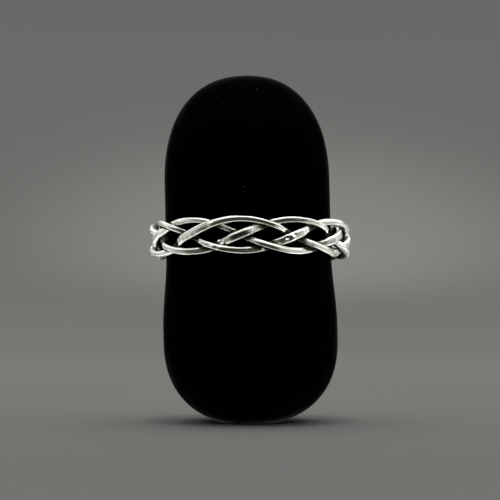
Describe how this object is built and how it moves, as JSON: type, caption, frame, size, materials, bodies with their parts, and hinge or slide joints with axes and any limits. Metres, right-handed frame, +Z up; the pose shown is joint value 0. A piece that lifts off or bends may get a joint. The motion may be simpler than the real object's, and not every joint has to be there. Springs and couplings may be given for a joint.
{
  "type": "band ring on a display stand",
  "caption": "Open woven band ring of interlaced silver wire, held on a plain black domed display stand.",
  "frame": {"origin": "on the table, under the middle of the ring", "axes": "+Z up along the stand, -Y towards the front of the ring, +X to its right"},
  "size_m": [0.0204, 0.0205, 0.0351],
  "materials": {
    "silver": "polished silver wire, dark oxidised in the recesses",
    "stand_black": "smooth satin black, moulded"
  },
  "bodies": {
    "root": {"woven_wire": "silver", "display_stand": "stand_black"}
  },
  "joints": []
}
